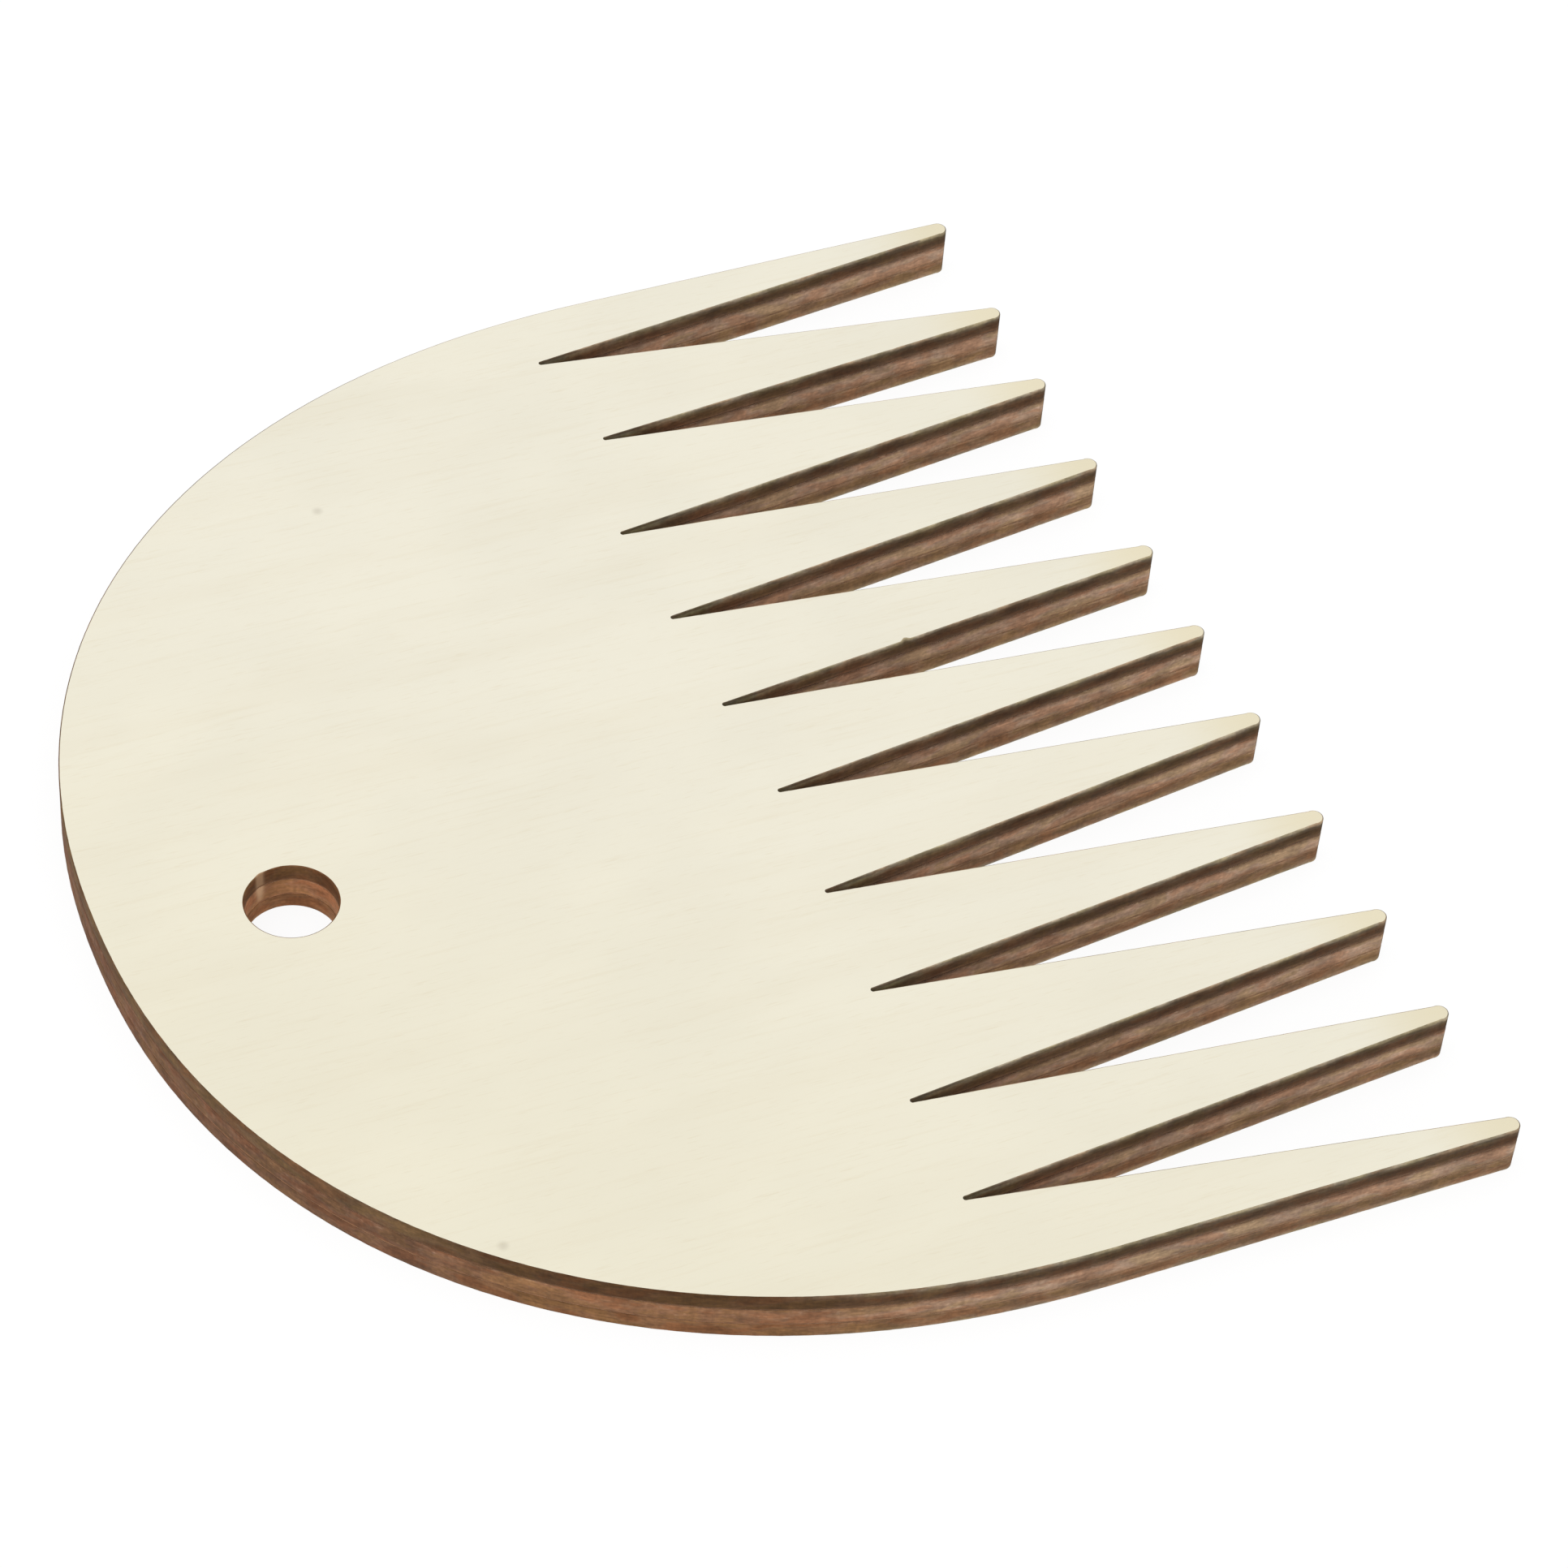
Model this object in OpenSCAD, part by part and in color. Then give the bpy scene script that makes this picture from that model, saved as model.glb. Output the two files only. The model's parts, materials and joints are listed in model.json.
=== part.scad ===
// Weaving comb: a flat hand comb cut in one outline from three-ply board.
// The teeth point along +X, the width runs along Y and the comb lies flat on Z = 0.
// The origin is the middle of its underside.

/* [Board] */
// Thickness of the veneer on the show face
face_ply = 0.9; // [0.5:0.1:2]
// Thickness of the middle veneer, whose grain runs crosswise
core_ply = 1; // [0.5:0.1:3]
// Thickness of the veneer on the underside
back_ply = 0.9; // [0.5:0.1:2]
// Thickness of each glue line between two veneers
glue_line = 0.1; // [0.05:0.05:0.3]

/* [Body] */
// Width across the two straight sides
comb_w = 72; // [56:1:110]
// Length of the straight sides, from the tips to where the round end starts
side_len = 22; // [16:0.5:50]
// Length of the round end, beyond the straight sides
round_len = 40; // [30:0.5:70]
// How full the round end is, where 2 makes it half an ellipse and more makes it squarer
fullness = 2.15; // [2:0.05:3]

/* [Teeth] */
// Number of teeth
tooth_count = 11; // [6:1:13]
// Width of a tooth at its rounded tip
tip_w = 1; // [0.5:0.1:1.6]
// Average depth of a gap, from the tips to its closed end
gap_depth = 26.5; // [14:0.5:32]
// Width of a gap at its closed end, which the cut leaves round
end_w = 0.15; // [0.1:0.05:0.5]
// Step in which tips and gaps stray from an even row, where 0 makes the row even
stray_step = 0.2; // [0:0.05:0.3]

/* [Hanging hole] */
// Diameter of the hole
hole_d = 4.8; // [3:0.1:8]
// Distance from the top of the round end to the middle of the hole
hole_inset = 9.75; // [6:0.25:16]
// How far the hole stands off the middle line, towards -Y
hole_offset = 1.8; // [0:0.1:8]

/* [Hidden] */
$fn = 96;

// The comb was drawn by eye, so tips and gaps stray a little from an even row.
// The lists count stray steps and start at the +Y side, and an entry past their end is 0.
// Steps that each tip strays towards +Y; the two outer tips stay on the straight sides
tip_strays = [0, -3, 1, 2, 1, 4, 5, 3, 2, 3, 0];
// Steps that the closed end of each gap strays towards +Y
root_strays = [0, 1, 0, 1, 2, 4, 3, 4, 3, 6];
// Steps by which each gap is cut deeper than the average
depth_strays = [-1, -7, 2, 1, 0, -2, 0, 2, 7, 7];

// Plan of the comb
half_w = comb_w / 2;
comb_len = side_len + round_len;
tip_x = comb_len / 2;
round_x = tip_x - side_len;
tip_r = tip_w / 2;
end_r = end_w / 2;
tip_pitch = (comb_w - tip_w) / (tooth_count - 1);
gap_count = tooth_count - 1;
// How far a cut runs out past the edge that it opens
cut_over = 2 * tip_w;
// Where the cuts between the teeth end, past the end of the blank
mouth_x = tip_x + 2 * cut_over;
// Share of an arc's radius at which a straight side ends inside it, so that the two cross at a clean angle
arc_share = 0.96;

// Height of the underside of each layer
lower_glue_z = back_ply;
core_z = lower_glue_z + glue_line;
upper_glue_z = core_z + core_ply;
face_z = upper_glue_z + glue_line;

// Length of entry i in a list of strays
function stray(steps, i) = i < len(steps) ? steps[i] * stray_step : 0;
function is_outer(i) = i == 0 || i == tooth_count - 1;
function tip_y(i) = half_w - tip_r - i * tip_pitch + (is_outer(i) ? 0 : stray(tip_strays, i));
// Middle of the arc that rounds the tip of tooth i
function tip_middle(i) = [tip_x - tip_r, tip_y(i)];
// Middle of the arc that closes gap i, between teeth i and i + 1
function end_middle(i) = [
    tip_x - gap_depth - stray(depth_strays, i) + end_r,
    half_w - tip_r - (i + 0.5) * tip_pitch + stray(root_strays, i)
];
// Both ends of one side of a gap, from the closing arc round p to the tip arc round c;
// hand is -1 for the side that lies towards +Y and +1 for the other
function gap_side(p, c, hand) =
    let (
        turn = asin(arc_share * (end_r + tip_r) / norm(c - p)),
        heading = atan2(c.y - p.y, c.x - p.x) + hand * turn,
        across = hand * [-sin(heading), cos(heading)]
    )
    [p - arc_share * end_r * across, c + arc_share * tip_r * across];
// Point of the round end at an angle from its top, where -90 and 90 meet the straight sides
function round_point(a) = [
    round_x - round_len * pow(cos(a), 2 / fullness),
    half_w * sign(a) * pow(abs(sin(a)), 2 / fullness)
];

// Straight-sided blank with a round end, longer than the teeth
module blank() {
    polygon([
        [tip_x + cut_over, -half_w],
        for (a = [-90 : 180 / $fn : 90]) round_point(a),
        [tip_x + cut_over, half_w]
    ]);
}

module tip_arc(i) {
    translate(tip_middle(i))
        circle(d = tip_w);
}

module end_arc(i) {
    translate(end_middle(i))
        circle(d = end_w);
}

// Tapering cut between teeth i and i + 1, with a round closed end, which leaves both tips round
module gap(i) {
    above = tip_middle(i);
    below = tip_middle(i + 1);
    upper = gap_side(end_middle(i), above, -1);
    lower = gap_side(end_middle(i), below, 1);
    end_arc(i);
    difference() {
        polygon([
            upper[0],
            upper[1],
            above,
            [mouth_x, above.y + tip_r],
            [mouth_x, below.y - tip_r],
            below,
            lower[1],
            lower[0]
        ]);
        tip_arc(i);
        tip_arc(i + 1);
    }
}

// Corner cut that rounds the outside of an outer tooth; out is +1 or -1 along Y
module corner(i, out) {
    middle = tip_middle(i);
    difference() {
        polygon([
            middle,
            [middle.x, out * (half_w + cut_over)],
            [mouth_x, out * (half_w + cut_over)],
            [mouth_x, middle.y - out * tip_r]
        ]);
        tip_arc(i);
    }
}

module hanging_hole() {
    translate([hole_inset - tip_x, -hole_offset])
        circle(d = hole_d);
}

module comb_outline() {
    difference() {
        blank();
        for (i = [0 : gap_count - 1])
            gap(i);
        corner(0, 1);
        corner(tooth_count - 1, -1);
        hanging_hole();
    }
}

// One layer of the board, cut to the comb's outline
module layer(z, thickness) {
    translate([0, 0, z])
        linear_extrude(thickness)
            comb_outline();
}

module back_veneer() {
    color("tan")
        layer(0, back_ply);
}

module lower_glue_line() {
    color("saddlebrown")
        layer(lower_glue_z, glue_line);
}

module core_veneer() {
    color("burlywood")
        layer(core_z, core_ply);
}

module upper_glue_line() {
    color("saddlebrown")
        layer(upper_glue_z, glue_line);
}

module face_veneer() {
    color("cornsilk")
        layer(face_z, face_ply);
}

back_veneer();
lower_glue_line();
core_veneer();
upper_glue_line();
face_veneer();
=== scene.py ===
"""Finish and studio setting for a weaving comb that is cut from three-ply board.

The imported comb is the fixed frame. Each layer of the board is cut again from its own node with
fine walls, rounded arrises and a burnt edge, and the comb lies on a pale floor under soft light.
"""

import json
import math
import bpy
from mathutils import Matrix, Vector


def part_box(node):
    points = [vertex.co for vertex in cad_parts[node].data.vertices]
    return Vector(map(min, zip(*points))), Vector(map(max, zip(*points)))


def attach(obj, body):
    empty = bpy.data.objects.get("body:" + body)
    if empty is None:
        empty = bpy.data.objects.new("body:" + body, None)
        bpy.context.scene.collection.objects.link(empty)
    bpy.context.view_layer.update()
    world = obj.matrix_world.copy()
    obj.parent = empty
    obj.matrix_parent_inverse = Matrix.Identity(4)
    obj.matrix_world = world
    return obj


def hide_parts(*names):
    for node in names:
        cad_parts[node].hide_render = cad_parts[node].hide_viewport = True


bl_info = {
    "name": "Weaving Comb Finish",
    "version": (1, 0, 0),
    "blender": (4, 5, 0),
    "location": "3D View > Sidebar > Comb",
    "description": "Cuts the comb's layers with burnt edges and sets the comb in a plain studio",
    "category": "Object",
}

import bmesh
import bpy
from bpy.props import FloatProperty, FloatVectorProperty, IntProperty, PointerProperty
from bpy.types import Operator, Panel, PropertyGroup
from mathutils import Quaternion, Vector, noise
from mathutils.bvhtree import BVHTree

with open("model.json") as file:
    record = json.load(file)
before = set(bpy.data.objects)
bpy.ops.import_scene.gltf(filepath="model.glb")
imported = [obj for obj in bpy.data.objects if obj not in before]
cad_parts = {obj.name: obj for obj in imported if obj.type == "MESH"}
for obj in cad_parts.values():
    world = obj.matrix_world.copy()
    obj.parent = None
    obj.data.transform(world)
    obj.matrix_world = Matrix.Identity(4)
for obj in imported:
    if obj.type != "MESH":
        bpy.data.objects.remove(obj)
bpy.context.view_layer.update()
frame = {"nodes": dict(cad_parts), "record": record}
MM = 0.001

# Plan of the comb, whose tips point along +X, and the heights of the board's two sides
PLAN = tuple(corner.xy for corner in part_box("face_veneer"))
TIP_X, SIDE_Y = PLAN[1]
BOARD_Z = (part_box("back_veneer")[0].z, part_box("face_veneer")[1].z)
SHOW_Z = BOARD_Z[1]
HOLE = next(m for m in frame["record"]["mounts"] if m["name"] == "hanging_hole")
HOLE_MIDDLE = Vector(HOLE["pos_m"][:2])
HOLE_R = HOLE["dims"]["r_mm"] * MM
# Points nearer than this to the middle of the hole belong to its wall
HOLE_REACH = 1.5 * HOLE_R

# Layers are cut in millimetres: points and heights that are this near count as the same
SAME_POINT = 1e-4
SAME_HEIGHT = 1e-5
# Faces whose normals point up or down by more than this are flats, and the others are walls
FLAT_NORMAL = 0.5
# Triangles of a wall that are turned from each other by less than this angle become one face
SAME_PLANE = 0.01
# Places of a layer's two materials
FLAT, WALL = 0, 1
# Widths of a gap between two teeth, about half way down and where it is narrow, in millimetres
GAP_HALF_W = 3.25
GAP_NARROW_W = 0.95
# How far off a wall its gap is measured, so that the wall itself isn't met, in millimetres
OFF_WALL = 0.01

# Attributes that the cut walls carry for their materials
TURN = "turn"
START = "start_mark"
DEEP = "deep"
BORE = "bore"
# The hole is burnt in the tones that the round end has at this turn
HOLE_TURN = 0.25
# Notes that the walls carry while they are made: the way out, how far round and how far up
OUTWARD = "outward"
ALONG = "along"
ACROSS = "across"

# Flat pattern of a layer, a UV map laid out for baking its materials, in millimetres
PATTERN = "OFBake"
PATTERN_GAP = 0.4
# Walls are drawn this much taller than they are, and flats inside the board much smaller
WALL_STRETCH = 2.0
HIDDEN_SCALE = 0.025

# Places of a Mix node's colour sockets
MIX_AMOUNT, MIX_FIRST, MIX_SECOND, MIX_RESULT = 0, 6, 7, 2
# Parts of a noise's range over which a pattern is spread, from the tightest to the widest
TIGHT = (0.3, 0.7)
LOOSE = (0.25, 0.75)
WIDE = (0.2, 0.8)
# Depth of the fine relief in a surface
RELIEF = 0.02 * MM

# Grain of the wood along X, Y and Z: slow figure, fibres, short fine pores and soft mottling
FIGURE = (26 * MM, 3.2 * MM, 3.2 * MM)
FIBRE = (6 * MM, 0.3 * MM, 0.3 * MM)
PORE = (1.1 * MM, 0.09 * MM, 0.09 * MM)
MOTTLE = (9 * MM, 7 * MM, 7 * MM)
# Where in its noise a grain starts to show, where it shows most, and how strongly
FIGURE_MARK = (0.42, 0.72, 0.12)
FIBRE_MARK = (0.5, 0.8, 0.22)
PORE_MARK = (0.6, 0.8, 0.3)
# How much the mottling darkens and lightens the wood, and how far pores dip beside fibres
MOTTLE_DEPTH = 0.015
PORE_DIP = -0.6
# The sheet gets warmer as the sum of X and Y goes from the first of these to the second
WARMING = (12 * MM, -48 * MM)
# The tips are toasted from the first to the second of these distances from their ends
TOASTING = (5.5 * MM, 0.5 * MM)
TOAST_SHARE = 0.9
# Flecks in the show face: place and radius, the share of it that is darkest, and how dark
FLECKS = (
    ((-10.85 * MM, 24.64 * MM, SHOW_Z), 0.42 * MM),
    ((-18.86 * MM, -26.02 * MM, SHOW_Z), 0.42 * MM),
)
FLECK_CORE = 0.1
FLECK_SHARE = 0.26
# Finish of the wood, the burnt edge and the glue: roughness, gloss and strength of the relief
WOOD_FINISH = ((0.56, 0.7), 0.3, 0.25)
BURN_FINISH = ((0.72, 0.95), 0.08, 0.5)
GLUE_FINISH = ((0.6, 0.85), 0.06, 0.4)

# Patterns of the burnt edge: sizes along X, Y and Z, and how much they darken and lighten it
PATCH = (1.6 * MM, 1.6 * MM, 0.6 * MM)
STREAK = (0.9 * MM, 0.9 * MM, 0.12 * MM)
SPECK = (0.24 * MM, 0.24 * MM, 0.16 * MM)
RIB = (0.16 * MM, 0.16 * MM, 2.4 * MM)
PATCH_DEPTH = 0.24
STREAK_DEPTH = 0.13
SPECK_DEPTH = 0.16
RIB_DEPTH = 0.05
# The bands of a ply waver with the patches, up and down by this share of its height
WAVER = 0.07
# Patches of hue, and where in their noise the redder and the yellower ones lie
HUE = (2.2 * MM, 2.2 * MM, 0.8 * MM)
RUDDY = (0.5, 0.6)
OLIVE = (0.5, 0.4)
# Pale ends of fibres in the core, of which the round end shows only this share
END_GRAIN = (0.4 * MM, 0.4 * MM, 0.26 * MM)
END_GRAIN_MARK = (0.58, 0.8, 0.45)
END_GRAIN_TURNS = (0.0, 0.2)
END_GRAIN_ROUND = 0.3
# Turns over which walls take the tone of the round end, that of its far side and the tips' shade
ROUND_TURNS = (0.0, 0.25)
FAR_TURNS = (0.42, 0.54)
TIP_TURNS = (-0.3, -0.65)
# The straight sides are burnt a little darker than the teeth; the walls at the ends of the tips,
# which turn towards +X, are made much darker
SIDE_SHADE = 0.86
TIP_SHADE = 0.5
# A wall counts as a straight side from the first to the second of these distances from it
SIDE_STRIP = (0.5 * MM, 0.1 * MM)
# Shares of a ply's height over which its wall goes over into the arris
ARRIS = (0.7, 0.95)
# Depths over which a gap closes, and how much lighter its end is painted: painted light, with a
# tint, in place of the light that reaches into the narrow end
CLOSING = (0.95, 1.2)
END_PAINTED_LIGHT = 1.4
# How near to its start the mark in the hole shows fully
START_FULL = 0.8

# Beads of the burnt glue, how much they darken and lighten it, and how much lighter the hole is
# painted, as painted light where the lamps leave it darker
BEAD = (0.5 * MM, 0.5 * MM, 0.3 * MM)
BEAD_DEPTH = 0.25
GLUE_HOLE_PAINTED_LIGHT = 1.6

# Floor: its number of sides, how far it lies under the comb, and its roughness
FLOOR_SIDES = 96
FLOOR_DROP = 0.01 * MM
FLOOR_ROUGHNESS = 0.9
# Nearest and farthest distance that the camera sees
SIGHT = (10 * MM, 10.0)
WHITE = (1.0, 1.0, 1.0)


# Settings


def tone(red, green, blue):
    """A colour given as screen values from 0 to 255, in the linear values that shaders take."""
    shares = (c / 255 for c in (red, green, blue))
    return tuple(c / 12.92 if c <= 0.04045 else ((c + 0.055) / 1.055) ** 2.4 for c in shares)


def length(name, description, default):
    """A size in metres."""
    return FloatProperty(
        name=name,
        description=description,
        default=default,
        precision=6,
        subtype="DISTANCE",
        unit="LENGTH",
    )


def angle(name, description, degrees):
    """An angle, given in degrees and kept in radians."""
    return FloatProperty(
        name=name,
        description=description,
        default=math.radians(degrees),
        subtype="ANGLE",
        unit="ROTATION",
    )


def share(name, description, default):
    """A strength of 0 or more."""
    return FloatProperty(name=name, description=description, default=default, min=0.0)


def colour(name, description, default):
    """A colour in linear values."""
    return FloatVectorProperty(
        name=name,
        description=description,
        default=default,
        subtype="COLOR",
        size=3,
        min=0.0,
        max=1.0,
    )


def place(name, description, default):
    """A point in metres."""
    return FloatVectorProperty(
        name=name,
        description=description,
        default=default,
        subtype="TRANSLATION",
        unit="LENGTH",
        size=3,
    )


class CombCutSettings(PropertyGroup):
    """Sizes of the cut walls and their edges."""

    column: length("Column", "Widest step between two columns of a cut wall", 0.16 * MM)
    ripple_pitch: length("Ripple pitch", "Distance between two ripples of a wall", 0.32 * MM)
    ripple_depth: length("Ripple depth", "Depth of the ripples that the cut leaves", 0.016 * MM)
    arris: length("Arris", "Radius of the edge between an outer face and the wall", 0.06 * MM)
    ply_arris: length("Ply arris", "Radius of a ply's edge beside a glue line", 0.025 * MM)
    glue_recess: length("Glue recess", "How far the glue is burnt back from the wall", 0.015 * MM)
    arris_steps: IntProperty(
        name="Arris steps", description="Faces across a rounded arris", default=3, min=1
    )
    start_angle: angle("Start mark", "Where the cut of the hanging hole starts, from +X", 113.0)
    start_width: length("Start width", "Half width of the mark where that cut starts", 0.26 * MM)
    start_depth: length("Start depth", "Depth of the mark where that cut starts", 0.05 * MM)
    start_low: length("Start end", "Height at which that mark has run out", 0.6 * MM)
    start_fade: length("Start fade", "Height over which that mark runs out", 1.2 * MM)
    nick_at: place("Nick", "Place of the nick in a tooth", (15.48 * MM, 5.35 * MM, SHOW_Z))
    nick_reach: length("Nick reach", "How far the nick reaches along the edge each way", 0.3 * MM)
    nick_depth: length("Nick depth", "How far the nick goes into the tooth", 0.24 * MM)


class CombWoodSettings(PropertyGroup):
    """Colours of the sanded wood."""

    face: colour("Face", "Pale wood of the show face", tone(238, 233, 215))
    face_warm: colour("Face, warm", "That wood where the sheet is warmer", tone(236, 230, 208))
    fibre: colour("Fibre", "Darker fibres in the pale wood", tone(224, 212, 184))
    tip: colour("Tip", "Wood at the tips, toasted a little by the cut", tone(232, 222, 192))
    fleck: colour("Fleck", "Small dark flecks in the face", tone(150, 138, 118))
    back: colour("Back", "Wood of the underside", tone(232, 222, 198))
    back_fibre: colour("Back fibre", "Darker fibres in the underside", tone(212, 194, 160))


class CombBurnSettings(PropertyGroup):
    """Colours of the burnt edge."""

    face_ply: colour("Face ply", "Upper ply, burnt darkest", tone(88, 67, 49))
    face_ply_foot: colour("Face ply foot", "Upper ply over its glue line", tone(112, 87, 68))
    face_ply_round: colour("Face ply, round", "Upper ply on the round end", tone(88, 63, 42))
    scorch: colour("Scorch", "Upper ply a little under the arris", tone(102, 88, 71))
    toast: colour("Toast", "Toasted arris of the show face", tone(172, 158, 136))
    core: colour("Core", "Middle ply, burnt least", tone(172, 143, 121))
    core_round: colour("Core, round", "Middle ply on the round end", tone(139, 101, 74))
    core_edge: colour("Core edge", "Middle ply under the upper glue line", tone(128, 101, 82))
    core_low: colour("Core foot", "Middle ply over the lower glue line", tone(153, 123, 98))
    core_fleck: colour("Core fleck", "Pale ends of fibres in the middle ply", tone(196, 170, 148))
    back_ply: colour("Back ply", "Lower ply", tone(131, 102, 77))
    back_ply_foot: colour("Back ply foot", "Lower ply a little over its arris", tone(152, 125, 101))
    back_ply_round: colour("Back ply, round", "Lower ply on the round end", tone(128, 92, 64))
    even: colour("Even burn", "Lower plies where the end cuts across the grain", tone(116, 85, 65))
    even_top: colour("Even burn, top", "Upper ply there", tone(108, 83, 60))
    ruddy: colour("Ruddy tint", "Tint of the redder patches", (1.0, 0.87, 0.78))
    olive: colour("Olive tint", "Tint of the yellower patches", (1.0, 1.0, 0.86))
    closed: colour("Closed end tint", "Tint of the closed ends of the gaps", (0.86, 1.0, 0.98))
    start: colour("Start mark", "Paler stripe where the hole's cut starts", tone(230, 192, 152))
    upper_glue: colour("Upper glue", "Burnt glue under the face ply", tone(116, 90, 70))
    lower_glue: colour("Lower glue", "Burnt glue over the back ply", tone(146, 114, 88))
    upper_glue_round: colour("Upper glue, round", "Upper glue on the round end", tone(110, 80, 58))
    lower_glue_round: colour("Lower glue, round", "Lower glue on the round end", tone(138, 100, 73))


class CombStageSettings(PropertyGroup):
    """Floor, light and camera."""

    floor: colour("Floor", "Pale floor", (0.12, 0.12, 0.12))
    floor_glow: share("Floor glow", "Light of the floor itself, which keeps shadows faint", 0.9)
    floor_r: length("Floor radius", "How far the floor reaches", 2.0)
    sky: share("Sky", "Strength of the even light all round", 0.79)
    key: FloatProperty(
        name="Key", description="Power of the large light", default=1.08, unit="POWER", min=0.0
    )
    key_at: place("Key place", "Middle of the large light", (-0.25, -0.05, 0.55))
    key_side: length("Key side", "Side of the large light", 0.5)
    lens: FloatProperty(
        name="Lens", description="Focal length", default=120.86, unit="CAMERA", min=1.0
    )
    aim: place("Aim", "Point in the middle of the view", (5.322 * MM, -2.399 * MM, SHOW_Z))
    distance: length("Distance", "From the camera to that point", 272.353 * MM)
    heading: angle("Heading", "Direction in which the camera looks, from +X towards +Y", 64.023)
    elevation: angle("Elevation", "How steeply the camera looks down", 46.405)
    roll: angle("Roll", "Turn of the camera about its own line of sight", 5.004)


# Shapes


def is_level(edge):
    """True for an edge of the cut walls that runs along a rim."""
    first, second = (v.co.z for v in edge.verts)
    return abs(first - second) < SAME_HEIGHT


def in_hole(point):
    """True for a point of the hole's wall."""
    return (point.xy * MM - HOLE_MIDDLE).length < HOLE_REACH


def widest_column(edge, step):
    """The hole has columns half as wide as other walls, because its start mark is narrow."""
    return (step / 2 if in_hole(edge.verts[0].co) else step) / MM


def true_hole(bm):
    """Moves the columns of the hole from their chords onto the true circle."""
    for v in bm.verts:
        if in_hole(v.co):
            spoke = v.co.xy - HOLE_MIDDLE / MM
            v.co.xy = (HOLE_MIDDLE + spoke.normalized() * HOLE_R) / MM


def cut_walls(node, step):
    """The walls of a layer in millimetres, as narrow upright faces round its outline and hole."""
    bm = bmesh.new()
    bm.from_mesh(frame["nodes"][node].data)
    bmesh.ops.scale(bm, vec=(1 / MM,) * 3, verts=bm.verts)
    bmesh.ops.remove_doubles(bm, verts=bm.verts, dist=SAME_POINT)
    bm.normal_update()
    flats = [f for f in bm.faces if abs(f.normal.z) > FLAT_NORMAL]
    bmesh.ops.delete(bm, geom=flats, context="FACES")
    bmesh.ops.join_triangles(
        bm, faces=bm.faces, angle_face_threshold=SAME_PLANE, angle_shape_threshold=math.pi
    )
    while wide := [
        e for e in bm.edges if is_level(e) and e.calc_length() > widest_column(e, step)
    ]:
        bmesh.ops.subdivide_edges(bm, edges=wide, cuts=1, use_grid_fill=True)
    true_hole(bm)
    return bm


def note_runs(bm):
    """Notes how far round the outline or hole each column stands; returns the way round both."""
    along = bm.verts.layers.float.new(ALONG)
    across = bm.verts.layers.float.new(ACROSS)
    for v in bm.verts:
        v[across] = v.co.z
    ahead = {}
    for f in bm.faces:
        middle = f.calc_center_median().z
        for corner in f.loops:
            if is_level(corner.edge) and corner.vert.co.z < middle:
                ahead[corner.vert] = (corner.link_loop_next.vert, corner.link_loop_prev.vert)
    run = 0.0
    while ahead:
        foot = next(iter(ahead))
        while foot in ahead:
            follower, top = ahead.pop(foot)
            foot[along] = top[along] = run
            run += (follower.co - foot.co).length
            foot = follower
        run += PATTERN_GAP
    return run


def turn_of(vert):
    """Which way a wall faces: 1 on the far end, 0 on the straight sides, -1 on the end of a tip."""
    if in_hole(vert.co):
        return HOLE_TURN
    back = min(1.0, max(-1.0, -vert.normal.x))
    return math.asin(back) / (math.pi / 2)


def depth_of(vert, walls, middle):
    """How deep in a gap a column stands.

    It is 0 half way down, 1 where the gap is narrow, and more at its closed end.
    """
    if in_hole(vert.co):
        return 0.0
    start = Vector((*vert.co.xy, middle)) + vert.normal * OFF_WALL
    across = Vector((0.0, math.copysign(1.0, vert.normal.y), 0.0))
    _, _, _, width = walls.ray_cast(start, across, GAP_HALF_W)
    return 0.0 if width is None else (GAP_HALF_W - width) / (GAP_HALF_W - GAP_NARROW_W)


def start_of(point, cut):
    """How near a point of the hole's wall is to the place where its cut starts, from 0 to 1."""
    if not in_hole(point):
        return 0.0
    spoke = point.xy * MM - HOLE_MIDDLE
    off = abs(math.atan2(spoke.y, spoke.x) - cut.start_angle) * HOLE_R
    fade = min(1.0, max(0.0, (point.z * MM - cut.start_low) / cut.start_fade))
    return fade * math.exp(-((off / cut.start_width) ** 2))


def ripple_of(point, cut, seed):
    """Depth of the ripples at a point of the outline, from 0 to 1."""
    wave = Vector((point.x, point.y, 0.0)) * MM / cut.ripple_pitch
    wave.z = seed
    return 0.5 + 0.5 * noise.noise(wave)


def work_walls(bm, cut, recess, seed):
    """Notes how the walls stand, and gives them their ripples and the hole its start mark."""
    outward = bm.verts.layers.float_vector.new(OUTWARD)
    turn = bm.verts.layers.float.new(TURN)
    start = bm.verts.layers.float.new(START)
    deep = bm.verts.layers.float.new(DEEP)
    bore = bm.verts.layers.float.new(BORE)
    bm.normal_update()
    walls = BVHTree.FromBMesh(bm)
    middle = sum(v.co.z for v in bm.verts) / len(bm.verts)
    for v in bm.verts:
        v[outward] = v.normal
        v[turn] = turn_of(v)
        v[start] = start_of(v.co, cut)
        v[deep] = depth_of(v, walls, middle)
        v[bore] = in_hole(v.co)
    for v in bm.verts:
        ripple = cut.ripple_depth * ripple_of(v.co, cut, seed)
        depth = recess + ripple + cut.start_depth * v[start]
        v.co -= v[outward] * depth / MM


def rim_of(bm, z):
    """The open edges of the walls at height z."""
    return [
        e
        for e in bm.edges
        if e.is_boundary and all(abs(v.co.z - z) < SAME_HEIGHT for v in e.verts)
    ]


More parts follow.
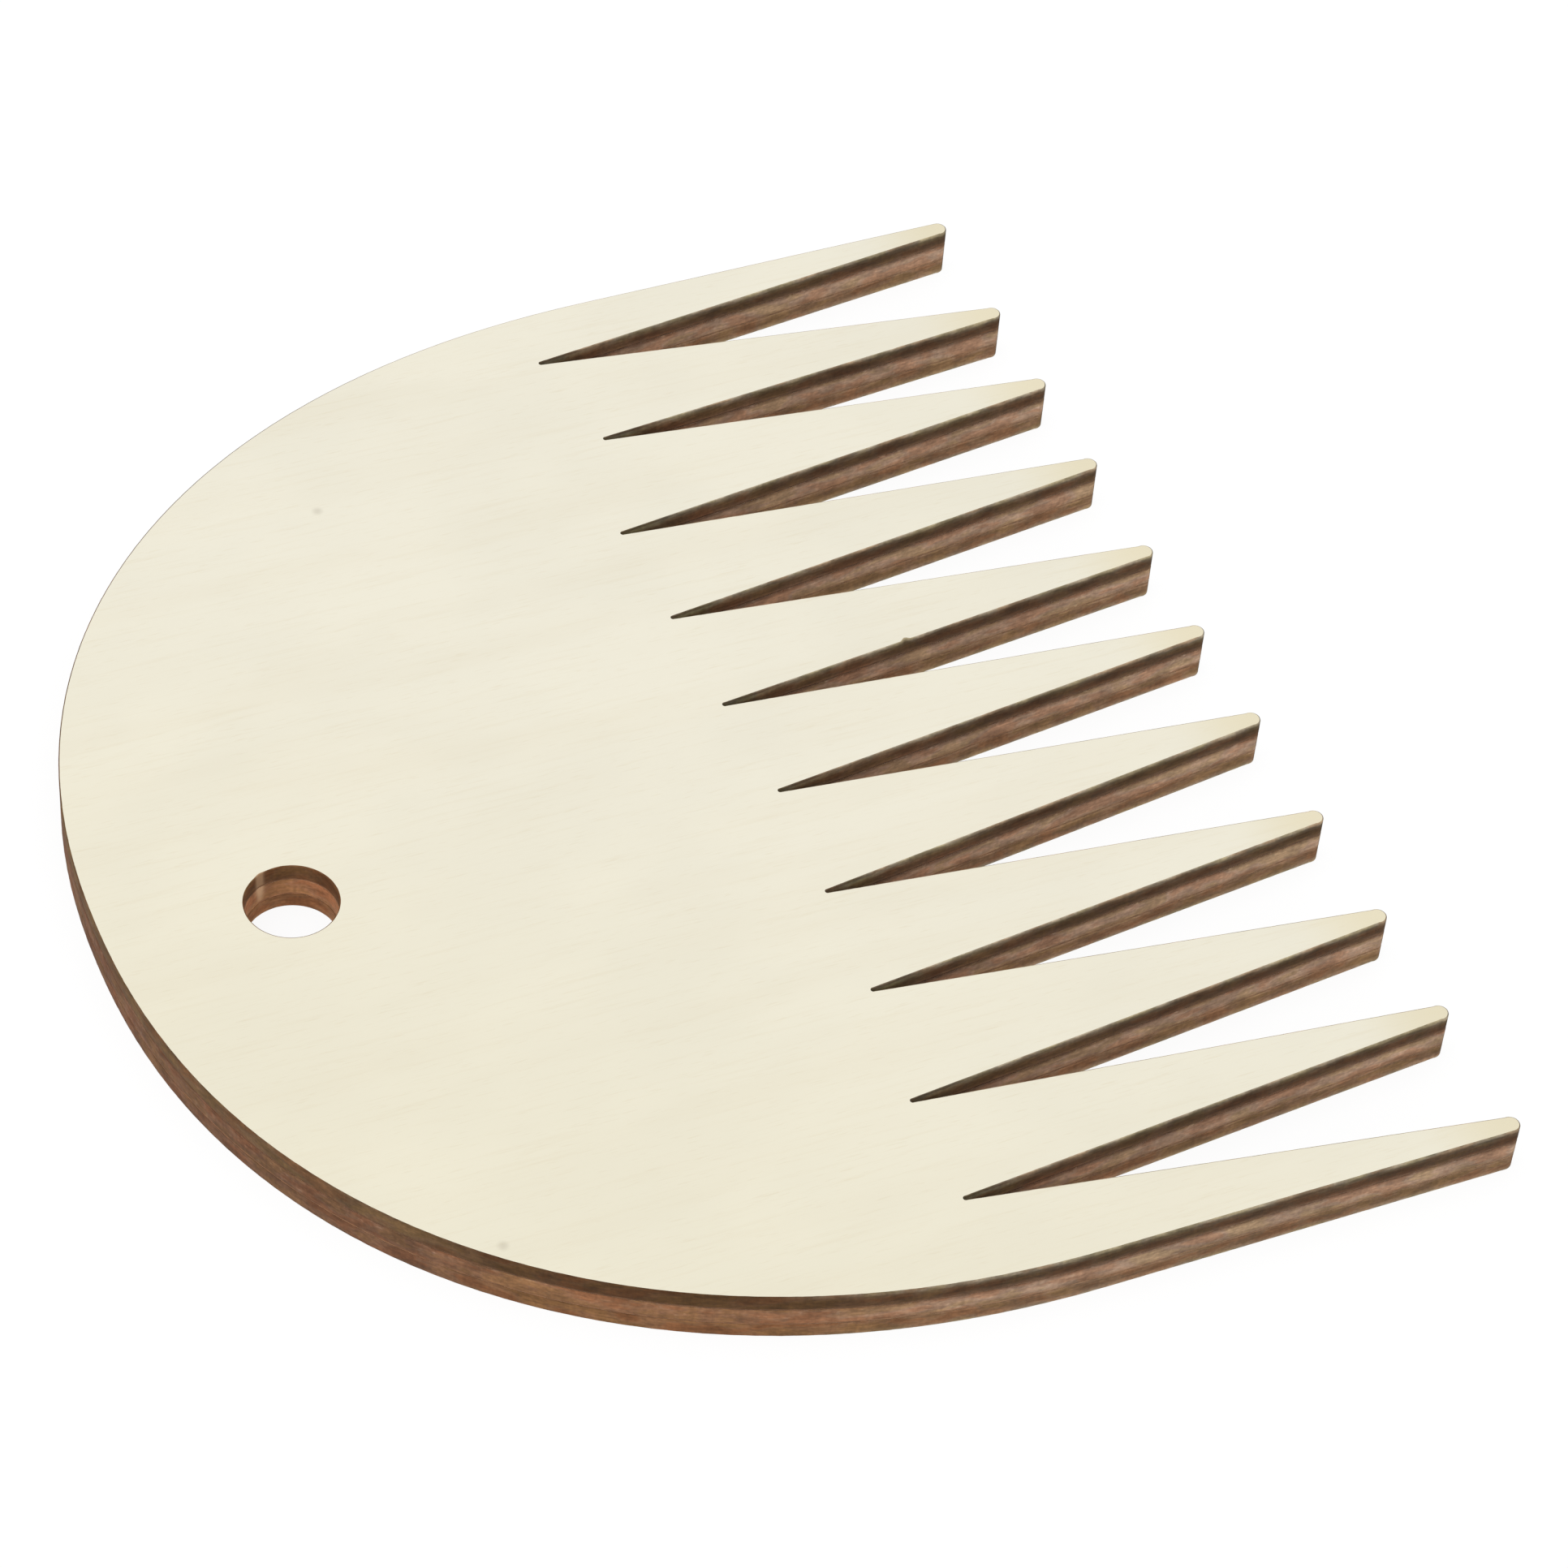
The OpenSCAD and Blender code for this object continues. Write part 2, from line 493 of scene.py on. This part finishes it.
def close_rim(bm, z, up, radius, steps):
    """Rounds the arris at height z over towards a flat, which it then fills; up is +1 or -1."""
    outward = bm.verts.layers.float_vector[OUTWARD]
    across = bm.verts.layers.float[ACROSS]
    rim = rim_of(bm, z)
    for v in {v for e in rim for v in e.verts}:
        v.co.z -= up * radius
        v[across] = v.co.z
    turns = [math.pi / 2 * k / steps for k in range(steps + 1)]
    for before, after in zip(turns, turns[1:]):
        made = bmesh.ops.extrude_edge_only(bm, edges=rim)["geom"]
        ring = {g for g in made if isinstance(g, bmesh.types.BMVert)}
        inward = radius * (math.cos(before) - math.cos(after))
        rise = radius * (math.sin(after) - math.sin(before))
        for v in ring:
            v.co += Vector((0, 0, up * rise)) - v[outward] * inward
            v[across] += up * radius * (after - before)
        rim = [g for g in made if isinstance(g, bmesh.types.BMEdge) and ring.issuperset(g.verts)]
    filled = bmesh.ops.triangle_fill(bm, use_beauty=True, edges=rim, normal=(0, 0, up))["geom"]
    return [g for g in filled if isinstance(g, bmesh.types.BMFace)]


def nick_edge(bm, cut):
    """Chips the arris of the show face at one place."""
    outward = bm.verts.layers.float_vector[OUTWARD]
    middle = cut.nick_at / MM
    for v in bm.verts:
        near = 1 - (v.co - middle).length * MM / cut.nick_reach
        if near > 0:
            v.co -= v[outward] * near * cut.nick_depth / MM


def drawn_scale(z):
    """The flats inside the board don't show, so they are drawn small in the flat pattern."""
    outside = any(abs(z - side / MM) < SAME_HEIGHT for side in BOARD_Z)
    return 1.0 if outside else HIDDEN_SCALE


def draw_wall(bm, face, uv, width, foot, row):
    """Draws one face of the walls in its row of the flat pattern."""
    along, across = (bm.verts.layers.float[note] for note in (ALONG, ACROSS))
    runs = [corner.vert[along] for corner in face.loops]
    last = max(runs)
    if last - min(runs) > PATTERN_GAP:
        # The way round starts again here, so the face is closed with its own width
        wide = max(e.calc_length() for e in face.edges if is_level(e))
        runs = [run if run == last else last + wide for run in runs]
    line = min(runs) // width
    for corner, run in zip(face.loops, runs):
        up = corner.vert[across] * WALL_STRETCH
        corner[uv].uv = (PATTERN_GAP + run - line * width, foot + line * row + up)


def draw_pattern(bm, flats, run):
    """Draws the layer as a flat pattern: its two flats, and over them its walls in rows."""
    uv = bm.loops.layers.uv.new(PATTERN)
    across = bm.verts.layers.float[ACROSS]
    (left, near), (right, far) = (corner / MM for corner in PLAN)
    foot = PATTERN_GAP
    for z, faces in flats.items():
        scale = drawn_scale(z)
        for corner in (c for f in faces for c in f.loops):
            x, y = corner.vert.co.xy
            up = right - x if corner.face.normal.z > 0 else x - left
            corner[uv].uv = (PATTERN_GAP + (y - near) * scale, foot + up * scale)
        foot += (right - left) * scale + PATTERN_GAP
    heights = sorted(v[across] for v in bm.verts)
    low, high = heights[0] * WALL_STRETCH, heights[-1] * WALL_STRETCH
    row = high - low + PATTERN_GAP
    side = max(foot, (far - near) * max(drawn_scale(z) for z in flats) + 2 * PATTERN_GAP)
    while foot + math.ceil(run / (side - 2 * PATTERN_GAP)) * row > side:
        side += PATTERN_GAP
    for f in bm.faces:
        if f.material_index == WALL:
            draw_wall(bm, f, uv, side - 2 * PATTERN_GAP, foot - low, row)
    for corner in (c for f in bm.faces for c in f.loops):
        corner[uv].uv /= side


def settle_faces(bm):
    """Puts the faces in one fixed order, by their corners, because extruding gives them none."""
    bm.verts.index_update()
    count = len(bm.verts)

    def rank(face):
        first, second, third = sorted(v.index for v in face.verts)[:3]
        return first + count * (second + count * third)

    bm.faces.sort(key=rank)


def add_object(name, bm, materials):
    """Makes an object of a bmesh and links it to the scene."""
    mesh = bpy.data.meshes.new(name)
    bm.to_mesh(mesh)
    bm.free()
    for material in materials:
        mesh.materials.append(material)
    made = bpy.data.objects.new(name, mesh)
    bpy.context.scene.collection.objects.link(made)
    return made


def make_layer(name, node, cut, materials, arrises, recess=0.0, nicked=False):
    """Cuts one layer of the board; arrises are the radii of its upper and lower edges."""
    bm = cut_walls(node, cut.column)
    low, high = (corner.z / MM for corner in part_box(node))
    run = note_runs(bm)
    work_walls(bm, cut, recess, seed=high)
    upper, lower = (radius / MM for radius in arrises)
    flats = {
        high: close_rim(bm, high, 1, upper, cut.arris_steps),
        low: close_rim(bm, low, -1, lower, cut.arris_steps),
    }
    flat_faces = {f for faces in flats.values() for f in faces}
    for f in bm.faces:
        f.smooth = f not in flat_faces
        f.material_index = WALL if f.smooth else FLAT
    bmesh.ops.recalc_face_normals(bm, faces=bm.faces)
    draw_pattern(bm, flats, run)
    if nicked:
        nick_edge(bm, cut)
    settle_faces(bm)
    bmesh.ops.scale(bm, vec=(MM,) * 3, verts=bm.verts)
    bm.verts.layers.float_vector.remove(bm.verts.layers.float_vector[OUTWARD])
    for note in (ALONG, ACROSS):
        bm.verts.layers.float.remove(bm.verts.layers.float[note])
    layer = add_object(name, bm, materials)
    # The node's own normals don't fit the new walls
    normals = layer.data.attributes.get("custom_normal")
    if normals:
        layer.data.attributes.remove(normals)
    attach(layer, "root")
    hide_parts(node)
    return layer


# Material nodes


def put(tree, socket, value):
    """Links a socket, or sets it to a number, a vector or a colour."""
    if isinstance(value, bpy.types.NodeSocket):
        tree.links.new(value, socket)
    elif socket.type == "RGBA":
        socket.default_value = (*value[:3], 1.0)
    else:
        socket.default_value = value


def add_node(tree, kind, inputs=None, **options):
    """A shader node with its inputs put and its options set."""
    made = tree.nodes.new("ShaderNode" + kind)
    for name, value in options.items():
        setattr(made, name, value)
    for name, value in (inputs or {}).items():
        put(tree, made.inputs[name], value)
    return made


def mix(tree, amount, first, second):
    """A colour that goes from first to second."""
    inputs = {MIX_AMOUNT: amount, MIX_FIRST: first, MIX_SECOND: second}
    return add_node(tree, "Mix", inputs, data_type="RGBA").outputs[MIX_RESULT]


def scaled(tree, base, amount):
    """A colour made lighter or darker."""
    made = add_node(tree, "VectorMath", {0: base, "Scale": amount}, operation="SCALE")
    return made.outputs[0]


def tinted(tree, base, tint):
    """A colour multiplied by a tint."""
    return add_node(tree, "VectorMath", {0: base, 1: tint}, operation="MULTIPLY").outputs[0]


def math_node(tree, operation, first, second):
    """A sum, a product or the like of two numbers."""
    return add_node(tree, "Math", {0: first, 1: second}, operation=operation).outputs[0]


def span(tree, value, low, high, start=0.0, end=1.0, soft=True):
    """Takes a value between low and high to one between start and end."""
    inputs = {"Value": value, "From Min": low, "From Max": high, "To Min": start, "To Max": end}
    way = "SMOOTHSTEP" if soft else "LINEAR"
    return add_node(tree, "MapRange", inputs, interpolation_type=way).outputs[0]


def ramp(tree, height, stops):
    """The colour at a height, from stops that give rising heights from 0 to 1 and colours."""
    made = add_node(tree, "ValToRGB", {"Fac": height})
    elements = made.color_ramp.elements
    for at, _ in stops[1:-1]:
        elements.new(at)
    for element, (at, stop) in zip(elements, stops):
        element.position = at
        element.color = (*stop, 1.0)
    return made.outputs["Color"]


def grain(tree, point, size, detail=2.0):
    """Noise whose cells have a size in metres along X, Y and Z."""
    stretch = add_node(tree, "Mapping", {"Vector": point, "Scale": [1 / s for s in size]})
    inputs = {"Vector": stretch.outputs[0], "Scale": 1.0, "Detail": detail}
    return add_node(tree, "TexNoise", inputs).outputs["Fac"]


def shown(tree, pattern, mark):
    """How strongly a pattern shows; the mark says from where, up to where and how much."""
    low, high, most = mark
    return span(tree, pattern, low, high, end=most)


def varied(tree, base, pattern, reach, depth):
    """A colour made darker and lighter by a pattern."""
    return scaled(tree, base, span(tree, pattern, *reach, 1 - depth, 1 + depth))


def notes(tree, *names):
    """What the cut walls carry under these names."""
    return [add_node(tree, "Attribute", attribute_name=name).outputs["Fac"] for name in names]


def place_of(tree):
    """Where a point of a piece lies in the comb's frame."""
    return add_node(tree, "TexCoord").outputs["Object"]


def axes_of(tree, point):
    """The X, Y and Z of a point."""
    return add_node(tree, "SeparateXYZ", {0: point}).outputs


def blank_material(name):
    """A material with only its shader."""
    material = bpy.data.materials.new(name)
    material.use_nodes = True
    tree = material.node_tree
    tree.nodes.clear()
    shader = add_node(tree, "BsdfPrincipled")
    add_node(tree, "OutputMaterial", {"Surface": shader.outputs[0]})
    return material, tree, shader


def dress(tree, shader, base, pattern, reach, relief, finish):
    """Gives a shader its colour, gloss and relief, and a roughness that follows a pattern."""
    roughness, gloss, strength = finish
    put(tree, shader.inputs["Base Color"], base)
    put(tree, shader.inputs["Roughness"], span(tree, pattern, *reach, *roughness))
    put(tree, shader.inputs["Specular IOR Level"], gloss)
    bump = add_node(tree, "Bump", {"Strength": strength, "Distance": RELIEF, "Height": relief})
    put(tree, shader.inputs["Normal"], bump.outputs[0])


# Materials


def fleck_at(tree, point, middle, radius):
    """A small spot, strongest in the middle."""
    off = add_node(tree, "VectorMath", {0: point, 1: middle}, operation="DISTANCE")
    return span(tree, off.outputs["Value"], radius, FLECK_CORE * radius, end=FLECK_SHARE)


def pale_wood(name, pale, warm, fibre_colour, tip=None, fleck=None):
    """Sanded limewood with its grain along the teeth."""
    material, tree, shader = blank_material(name)
    point = place_of(tree)
    axes = axes_of(tree, point)
    figure = grain(tree, point, FIGURE, detail=3.0)
    fibre = grain(tree, point, FIBRE, detail=3.0)
    pore = grain(tree, point, PORE, detail=1.0)
    mottle = grain(tree, point, MOTTLE)
    warmth = span(tree, math_node(tree, "ADD", axes["X"], axes["Y"]), *WARMING)
    wood = mix(tree, warmth, pale, warm)
    for pattern, mark in ((figure, FIGURE_MARK), (fibre, FIBRE_MARK), (pore, PORE_MARK)):
        wood = mix(tree, shown(tree, pattern, mark), wood, fibre_colour)
    if tip:
        start, end = (TIP_X - off for off in TOASTING)
        wood = mix(tree, span(tree, axes["X"], start, end, end=TOAST_SHARE), wood, tip)
    if fleck:
        for middle, radius in FLECKS:
            wood = mix(tree, fleck_at(tree, point, middle, radius), wood, fleck)
    wood = varied(tree, wood, mottle, TIGHT, MOTTLE_DEPTH)
    relief = math_node(tree, "ADD", fibre, math_node(tree, "MULTIPLY", pore, PORE_DIP))
    dress(tree, shader, wood, fibre, TIGHT, relief, WOOD_FINISH)
    return material


def ply_height(tree, node, z, patch):
    """How far up in its ply a point lies, from 0 to 1, with a little waver."""
    low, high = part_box(node)
    height = span(tree, z, low.z, high.z, soft=False)
    return math_node(tree, "ADD", height, span(tree, patch, *WIDE, -WAVER, WAVER, soft=False))


def paint_gap_light(tree, edge, height, deep, burn, painted_light):
    """Paints light onto the burnt edge where a gap gets narrow, apart from its arris, and more onto
    its closed end, which it also tints; the arris at that end gets the scorch colour.
    """
    arris = span(tree, height, *ARRIS)
    below = span(tree, height, *ARRIS, 1.0, 0.0)
    # Painted light: the wall is lightened deeper in the gap, where the lamps leave it darker
    narrow = math_node(tree, "MULTIPLY", span(tree, deep, 0.0, 1.0, end=painted_light - 1), below)
    edge = scaled(tree, edge, math_node(tree, "ADD", narrow, 1.0))
    # Painted light: the closed end is lightened further and tinted
    closing = span(tree, deep, *CLOSING)
    closed = tinted(tree, scaled(tree, edge, END_PAINTED_LIGHT), burn.closed)
    edge = mix(tree, math_node(tree, "MULTIPLY", closing, below), edge, closed)
    return mix(tree, math_node(tree, "MULTIPLY", closing, arris), edge, burn.scorch)


def end_grain(tree, point, turn):
    """Where the pale ends of fibres show."""
    spots = shown(tree, grain(tree, point, END_GRAIN, detail=1.0), END_GRAIN_MARK)
    kept = span(tree, turn, *END_GRAIN_TURNS, 1.0, END_GRAIN_ROUND)
    return math_node(tree, "MULTIPLY", spots, kept)


def burnt_edge(name, node, burn, stops, tones, gap_painted_light, hole_painted_light, mark, fleck=None):
    """Laser-cut edge of a ply.

    The stops are its colours at shares of its height, and the tones those of the round end and of
    its far side. The painted-light strengths lighten narrow gaps and the hole, as painted light
    where the lamps leave them darker, and mark is how strongly the start of the hole's cut shows.
    """
    material, tree, shader = blank_material(name)
    point = place_of(tree)
    axes = axes_of(tree, point)
    turn, deep, bore, start = notes(tree, TURN, DEEP, BORE, START)
    patch = grain(tree, point, PATCH, detail=3.0)
    streak = grain(tree, point, STREAK)
    speck = grain(tree, point, SPECK)
    rib = grain(tree, point, RIB)
    hue = grain(tree, point, HUE)
    height = ply_height(tree, node, axes["Z"], patch)
    edge = ramp(tree, height, stops)
    edge = mix(tree, span(tree, turn, *ROUND_TURNS), edge, tones[0])
    edge = mix(tree, span(tree, turn, *FAR_TURNS), edge, tones[1])
    edge = paint_gap_light(tree, edge, height, deep, burn, gap_painted_light)
    # Painted light: the hole's wall is lightened, where the lamps leave it darker
    edge = scaled(tree, edge, span(tree, bore, 0.0, 1.0, 1.0, hole_painted_light))
    if fleck:
        edge = mix(tree, end_grain(tree, point, turn), edge, fleck)
    edge = mix(tree, span(tree, hue, *RUDDY), edge, tinted(tree, edge, burn.ruddy))
    edge = mix(tree, span(tree, hue, *OLIVE), edge, tinted(tree, edge, burn.olive))
    off_middle = math_node(tree, "ABSOLUTE", axes["Y"], 0.0)
    inner, outer = (SIDE_Y - off for off in SIDE_STRIP)
    edge = scaled(tree, edge, span(tree, off_middle, inner, outer, 1.0, SIDE_SHADE))
    edge = scaled(tree, edge, span(tree, turn, *TIP_TURNS, 1.0, TIP_SHADE))
    edge = varied(tree, edge, patch, LOOSE, PATCH_DEPTH)
    edge = varied(tree, edge, streak, LOOSE, STREAK_DEPTH)
    edge = varied(tree, edge, speck, LOOSE, SPECK_DEPTH)
    edge = varied(tree, edge, rib, LOOSE, RIB_DEPTH)
    edge = mix(tree, span(tree, start, 0.0, START_FULL, end=mark), edge, burn.start)
    dress(tree, shader, edge, speck, LOOSE, rib, BURN_FINISH)
    return material


def burnt_glue(name, glue, round_glue):
    """Set glue between two plies, a little glossy where the cut has boiled it."""
    material, tree, shader = blank_material(name)
    bead = grain(tree, place_of(tree), BEAD, detail=3.0)
    turn, bore = notes(tree, TURN, BORE)
    edge = mix(tree, span(tree, turn, *ROUND_TURNS), glue, round_glue)
    # Painted light: the glue in the hole is lightened
    edge = scaled(tree, edge, span(tree, bore, 0.0, 1.0, 1.0, GLUE_HOLE_PAINTED_LIGHT))
    edge = varied(tree, edge, bead, TIGHT, BEAD_DEPTH)
    dress(tree, shader, edge, bead, TIGHT, bead, GLUE_FINISH)
    return material


# Stage


def make_floor(stage):
    """Lays the floor, which glows a little."""
    bm = bmesh.new()
    bmesh.ops.create_circle(bm, cap_ends=True, segments=FLOOR_SIDES, radius=stage.floor_r)
    material, tree, shader = blank_material("pale floor")
    put(tree, shader.inputs["Base Color"], stage.floor)
    put(tree, shader.inputs["Roughness"], FLOOR_ROUGHNESS)
    put(tree, shader.inputs["Specular IOR Level"], 0.0)
    put(tree, shader.inputs["Emission Color"], WHITE)
    put(tree, shader.inputs["Emission Strength"], stage.floor_glow)
    floor = add_object("floor", bm, (material,))
    floor.location.z = -FLOOR_DROP


def facing(direction):
    """The turn that points a light or a camera along a direction."""
    return direction.to_track_quat("-Z", "Y")


def make_lights(stage):
    """Sets an even white sky and one large light, which the camera doesn't see."""
    world = bpy.data.worlds.new("studio")
    world.use_nodes = True
    background = world.node_tree.nodes["Background"]
    put(world.node_tree, background.inputs["Color"], WHITE)
    put(world.node_tree, background.inputs["Strength"], stage.sky)
    bpy.context.scene.world = world
    light = bpy.data.lights.new("key", "AREA")
    light.energy = stage.key
    light.size = stage.key_side
    key = bpy.data.objects.new("key", light)
    key.location = stage.key_at
    key.rotation_mode = "QUATERNION"
    key.rotation_quaternion = facing(-stage.key_at)
    key.visible_camera = False
    bpy.context.scene.collection.objects.link(key)


def make_camera(stage):
    """Looks down at the show face from the -Y side, a little from behind the round end."""
    data = bpy.data.cameras.new("camera")
    data.lens = stage.lens
    data.clip_start, data.clip_end = SIGHT
    level = math.cos(stage.elevation)
    ahead = Vector(
        (
            level * math.cos(stage.heading),
            level * math.sin(stage.heading),
            -math.sin(stage.elevation),
        )
    )
    camera = bpy.data.objects.new("camera", data)
    camera.location = stage.aim - ahead * stage.distance
    camera.rotation_mode = "QUATERNION"
    camera.rotation_quaternion = facing(ahead) @ Quaternion((0, 0, 1), stage.roll)
    bpy.context.scene.collection.objects.link(camera)
    bpy.context.scene.camera = camera


# Operators


def settings(context):
    """The sizes of the cut, the colours of the wood and those of the burnt edge."""
    scene = context.scene
    return scene.comb_cut, scene.comb_wood, scene.comb_burn


class COMB_OT_face_veneer(Operator):
    """Cut the pale veneer of the show face"""

    bl_idname = "comb.face_veneer"
    bl_label = "Face Veneer"

    def execute(self, context):
        cut, wood, burn = settings(context)
        face = pale_wood(
            "pale limewood", wood.face, wood.face_warm, wood.fibre, wood.tip, wood.fleck
        )
        stops = (
            (0.0, burn.face_ply_foot),
            (0.22, burn.face_ply),
            (0.5, burn.face_ply),
            (0.76, burn.scorch),
            (1.0, burn.toast),
        )
        edge = burnt_edge(
            "burnt face ply",
            "face_veneer",
            burn,
            stops,
            tones=(burn.face_ply_round, burn.even_top),
            # The narrow gaps and the hole get painted light, where the lamps leave them darker
            gap_painted_light=1.8,
            hole_painted_light=1.75,
            mark=0.42,
        )
        make_layer(
            "face_sheet",
            "face_veneer",
            cut,
            materials=(face, edge),
            arrises=(cut.arris, cut.ply_arris),
            nicked=True,
        )
        return {"FINISHED"}


class COMB_OT_core_veneer(Operator):
    """Cut the middle veneer, whose grain runs crosswise in the real board; here its wood is drawn
    with the grain along the teeth
    """

    bl_idname = "comb.core_veneer"
    bl_label = "Core Veneer"

    def execute(self, context):
        cut, wood, burn = settings(context)
        face = pale_wood("core limewood", wood.face_warm, wood.back, wood.fibre)
        stops = (
            (0.0, burn.core_low),
            (0.32, burn.core),
            (0.75, burn.core),
            (1.0, burn.core_edge),
        )
        edge = burnt_edge(
            "burnt core ply",
            "core_veneer",
            burn,
            stops,
            tones=(burn.core_round, burn.even),
            # The narrow gaps and the hole get painted light, where the lamps leave them darker
            gap_painted_light=1.2,
            hole_painted_light=1.6,
            mark=0.8,
            fleck=burn.core_fleck,
        )
        make_layer(
            "core_sheet",
            "core_veneer",
            cut,
            materials=(face, edge),
            arrises=(cut.ply_arris, cut.ply_arris),
        )
        return {"FINISHED"}


class COMB_OT_back_veneer(Operator):
    """Cut the veneer of the underside"""

    bl_idname = "comb.back_veneer"
    bl_label = "Back Veneer"

    def execute(self, context):
        cut, wood, burn = settings(context)
        face = pale_wood("back limewood", wood.back, wood.face_warm, wood.back_fibre, wood.tip)
        stops = (
            (0.0, burn.toast),
            (0.2, burn.back_ply_foot),
            (0.45, burn.back_ply),
            (0.85, burn.back_ply),
            (1.0, burn.core_low),
        )
        edge = burnt_edge(
            "burnt back ply",
            "back_veneer",
            burn,
            stops,
            tones=(burn.back_ply_round, burn.even),
            # The narrow gaps and the hole get painted light, where the lamps leave them darker
            gap_painted_light=1.3,
            hole_painted_light=1.3,
            mark=0.2,
        )
        make_layer(
            "back_sheet",
            "back_veneer",
            cut,
            materials=(face, edge),
            arrises=(cut.ply_arris, cut.arris),
        )
        return {"FINISHED"}


class COMB_OT_glue_lines(Operator):
    """Lay the two glue lines between the veneers"""

    bl_idname = "comb.glue_lines"
    bl_label = "Glue Lines"

    def execute(self, context):
        cut, _, burn = settings(context)
        tones = {
            "upper": (burn.upper_glue, burn.upper_glue_round),
            "lower": (burn.lower_glue, burn.lower_glue_round),
        }
        for name, (glue_tone, round_tone) in tones.items():
            glue = burnt_glue(f"burnt {name} glue", glue_tone, round_tone)
            make_layer(
                f"{name}_glue",
                f"{name}_glue_line",
                cut,
                materials=(glue, glue),
                arrises=(cut.ply_arris, cut.ply_arris),
                recess=cut.glue_recess,
            )
        return {"FINISHED"}


class COMB_OT_stage(Operator):
    """Set the floor, the lights and the camera"""

    bl_idname = "comb.stage"
    bl_label = "Stage"

    def execute(self, context):
        stage = context.scene.comb_stage
        make_floor(stage)
        make_lights(stage)
        make_camera(stage)
        context.scene.view_settings.view_transform = "Standard"
        return {"FINISHED"}


class COMB_PT_finish(Panel):
    """The steps that dress the comb"""

    bl_idname = "COMB_PT_finish"
    bl_label = "Weaving Comb"
    bl_space_type = "VIEW_3D"
    bl_region_type = "UI"
    bl_category = "Comb"

    def draw(self, context):
        for step in STEPS:
            self.layout.operator(step.bl_idname)


STEPS = (
    COMB_OT_face_veneer,
    COMB_OT_core_veneer,
    COMB_OT_back_veneer,
    COMB_OT_glue_lines,
    COMB_OT_stage,
)
SETTINGS = {
    "comb_cut": CombCutSettings,
    "comb_wood": CombWoodSettings,
    "comb_burn": CombBurnSettings,
    "comb_stage": CombStageSettings,
}
CLASSES = (*SETTINGS.values(), *STEPS, COMB_PT_finish)


def register():
    for group in CLASSES:
        bpy.utils.register_class(group)
    for name, group in SETTINGS.items():
        setattr(bpy.types.Scene, name, PointerProperty(type=group))


def unregister():
    for name in SETTINGS:
        delattr(bpy.types.Scene, name)
    for group in reversed(CLASSES):
        bpy.utils.unregister_class(group)


def main():
    register()
    bpy.ops.comb.face_veneer()
    bpy.ops.comb.core_veneer()
    bpy.ops.comb.back_veneer()
    bpy.ops.comb.glue_lines()
    bpy.ops.comb.stage()


if __name__ == "__main__":
    main()
